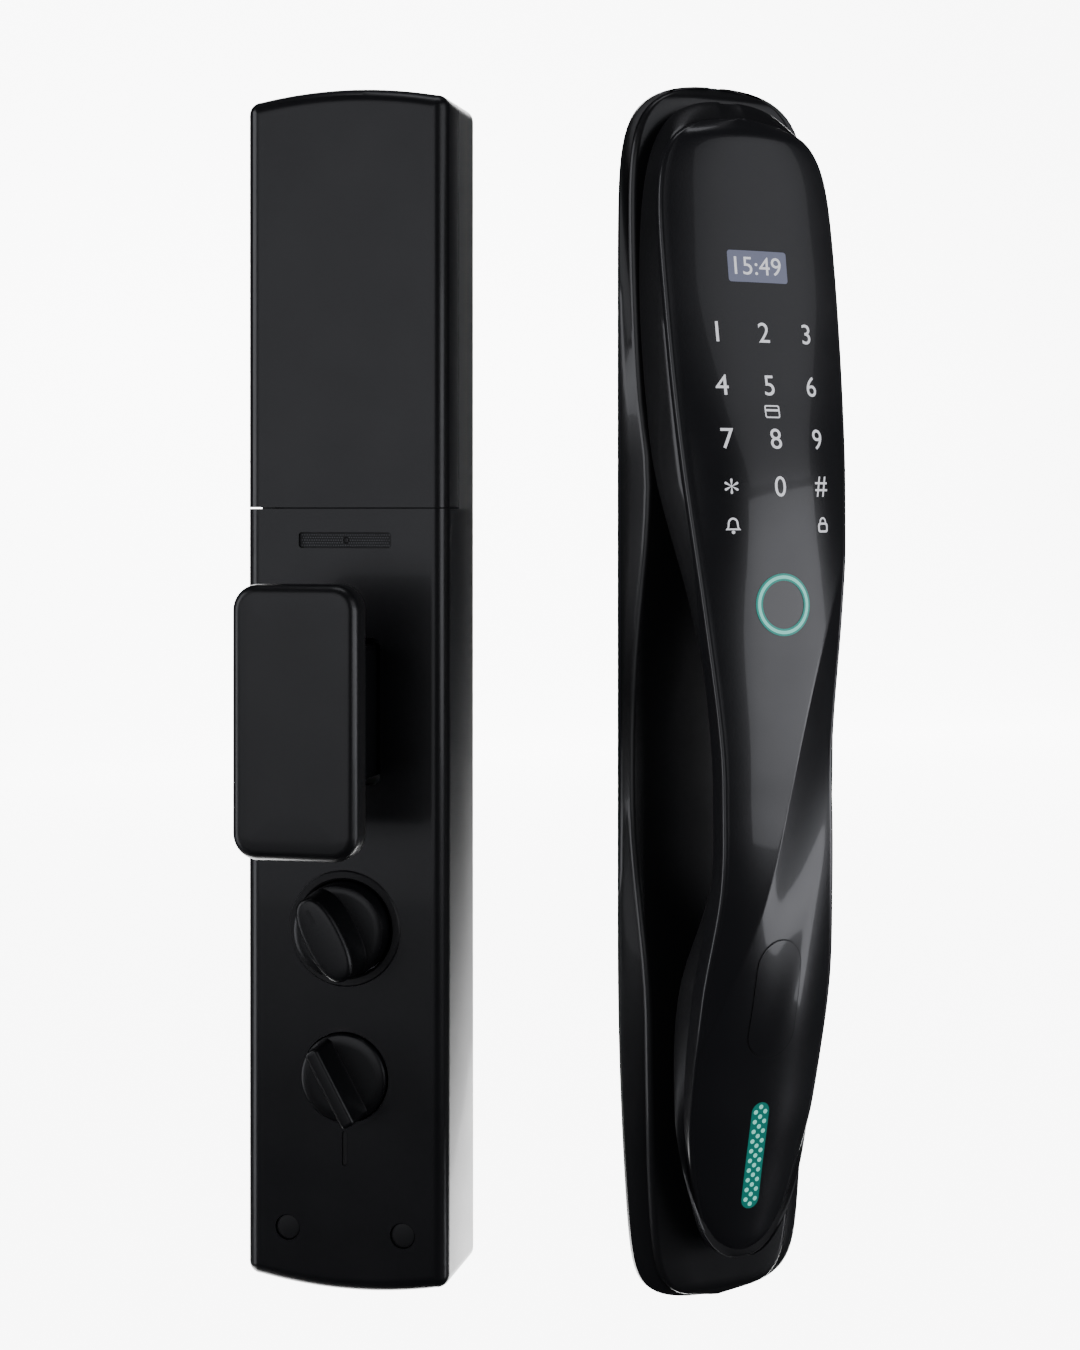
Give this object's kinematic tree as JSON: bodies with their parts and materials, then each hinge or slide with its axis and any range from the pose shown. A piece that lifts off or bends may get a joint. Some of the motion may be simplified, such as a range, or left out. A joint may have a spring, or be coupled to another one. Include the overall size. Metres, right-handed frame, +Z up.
{
  "type": "keypad smart door lock",
  "caption": "Black push-pull door lock set: outdoor unit with keypad, display and fingerprint ring on a curved handle, and indoor unit with paddle handle, knobs and battery cover.",
  "frame": {"origin": "centre line of the outdoor unit at its mid-height, on the face that rests on the door", "axes": "+Z up, -Y out of the door towards the person outside, +X to that person's right"},
  "size_m": [0.2005, 0.1529, 0.41],
  "materials": {
    "black_cast": "satin black paint on a zinc casting",
    "black_gloss": "glossy black cover with a soft sheen",
    "black_housing": "semi-gloss black housing plastic",
    "black_knob": "satin black knob plastic",
    "black_trim": "dull black trim",
    "gasket_rubber": "matt black rubber",
    "zinc_plate": "zinc-plated pressed steel",
    "bright_steel": "turned steel",
    "spring_steel": "spring wire",
    "black_screw": "black oxide screw",
    "socket_plastic": "natural nylon socket",
    "bush_nylon": "natural acetal",
    "circuit_board": "green solder mask",
    "copper_coil": "flat copper antenna track",
    "display_glass": "lit blue-grey display behind glass",
    "sensor_glass": "dark sensor glass",
    "ring_light": "mint light ring",
    "strip_light": "teal light strip",
    "cylinder_brass": "machined brass",
    "cell_wrap": "battery sleeve"
  },
  "bodies": {
    "door_units": {"outdoor_gasket": "gasket_rubber", "outdoor_plate": "zinc_plate", "outdoor_base": "black_cast", "outdoor_base_screws": "bright_steel", "threaded_posts": "bright_steel", "outdoor_socket": "socket_plastic", "rod_guides": "zinc_plate", "hinge_pin": "bright_steel", "hinge_spring": "spring_steel", "rocker_pin": "bright_steel", "indoor_gasket": "gasket_rubber", "indoor_plate": "zinc_plate", "indoor_housing": "black_housing", "housing_screws": "bright_steel", "screw_plugs": "black_trim", "door_bolts": "bright_steel", "indoor_socket": "socket_plastic", "control_board": "circuit_board", "battery_tray": "black_trim", "batteries": "cell_wrap", "battery_contacts": "spring_steel", "speaker_grille": "black_trim", "speaker": "black_trim", "paddle_pin": "bright_steel", "paddle_spring": "spring_steel", "turn_ring": "black_trim", "drive_motor": "zinc_plate", "knob_plate": "zinc_plate", "position_mark": "black_trim"},
    "outdoor_handle": {"handle_shell": "black_cast", "handle_cover": "black_gloss", "hinge_bushes": "bush_nylon", "keypad_board": "circuit_board", "card_antenna": "copper_coil", "display_window": "display_glass", "finger_sensor": "sensor_glass", "finger_ring": "ring_light", "light_strip": "strip_light", "handle_screws": "black_screw", "key_cylinder": "cylinder_brass"},
    "key_cover": {"key_cover": "black_gloss"},
    "key_plug": {"key_plug": "cylinder_brass"},
    "rocker": {"rocker_lever": "zinc_plate"},
    "pull_rod": {"pull_rod": "zinc_plate"},
    "outdoor_spindle": {"outdoor_spindle": "bright_steel"},
    "battery_cover": {"battery_cover": "black_housing"},
    "inside_paddle": {"paddle_cover": "black_housing", "paddle_arm": "black_knob", "paddle_screws": "black_screw"},
    "indoor_spindle": {"indoor_spindle": "bright_steel"},
    "thumb_turn": {"turn_knob": "black_knob", "turn_shaft": "bright_steel", "drive_gear": "bush_nylon"},
    "motor_pinion": {"motor_pinion": "cylinder_brass"},
    "privacy_turn": {"privacy_knob": "black_knob", "privacy_shaft": "bright_steel"}
  },
  "joints": [
    {"name": "outdoor_handle_swing", "type": "hinge", "parent": "door_units", "child": "outdoor_handle", "pos_m": [0, -0.0155, 0.1761], "axis": [-1, 0, 0], "range_deg": [0, 2.6], "stiffness_Nm_per_rad": 20, "springref_deg": -2.86},
    {"name": "rocker_turn", "type": "hinge", "parent": "door_units", "child": "rocker", "pos_m": [0.006, -0.0192, 0.1121], "axis": [-1, 0, 0], "range_deg": [0, 12]},
    {"name": "pull_rod_slide", "type": "slide", "parent": "door_units", "child": "pull_rod", "axis": [0, 0, -1], "range_m": [0, 0.0031]},
    {"name": "outdoor_spindle_turn", "type": "hinge", "parent": "door_units", "child": "outdoor_spindle", "pos_m": [0, 0, -0.01291], "axis": [0, 1, 0], "range_deg": [0, 27]},
    {"name": "key_cover_lift", "type": "slide", "parent": "outdoor_handle", "child": "key_cover", "axis": [0, -1, 0], "range_m": [0, 0.03]},
    {"name": "key_turn", "type": "hinge", "parent": "outdoor_handle", "child": "key_plug", "pos_m": [0, -0.03, -0.10379], "axis": [0, -1, 0], "range_deg": [0, 90]},
    {"name": "battery_cover_slide", "type": "slide", "parent": "door_units", "child": "battery_cover", "axis": [0, 0, 1], "range_m": [0, 0.15]},
    {"name": "inside_paddle_swing", "type": "hinge", "parent": "door_units", "child": "inside_paddle", "pos_m": [-0.10747, 0.05938, 0.01944], "axis": [0.7738, -0.6334, 0], "range_deg": [0, 5], "stiffness_Nm_per_rad": 3, "springref_deg": -6.88},
    {"name": "indoor_spindle_turn", "type": "hinge", "parent": "door_units", "child": "indoor_spindle", "pos_m": [-0.091, 0.0795, -0.01556], "axis": [0.6334, 0.7738, 0], "range_deg": [0, 25]},
    {"name": "thumb_turn", "type": "hinge", "parent": "door_units", "child": "thumb_turn", "pos_m": [-0.1138, 0.05164, -0.08098], "axis": [-0.6334, -0.7738, 0], "range_deg": [-29, 61]},
    {"name": "motor_pinion_turn", "type": "hinge", "parent": "door_units", "child": "motor_pinion", "pos_m": [-0.0897, 0.06034, -0.06415], "axis": [-0.6334, -0.7738, 0], "range_deg": [-155, 75]},
    {"name": "privacy_turn", "type": "hinge", "parent": "door_units", "child": "privacy_turn", "pos_m": [-0.1138, 0.05164, -0.13161], "axis": [-0.6334, -0.7738, 0], "range_deg": [-29, 61]}
  ],
  "couplings": [
    {"joint": "rocker_turn", "follows": "outdoor_handle_swing", "ratio": 4.6},
    {"joint": "pull_rod_slide", "follows": "outdoor_handle_swing", "m_per_rad": 0.0661},
    {"joint": "outdoor_spindle_turn", "follows": "outdoor_handle_swing", "ratio": 10.3},
    {"joint": "indoor_spindle_turn", "follows": "inside_paddle_swing", "ratio": 4.9},
    {"joint": "motor_pinion_turn", "follows": "thumb_turn", "ratio": -2.5}
  ]
}
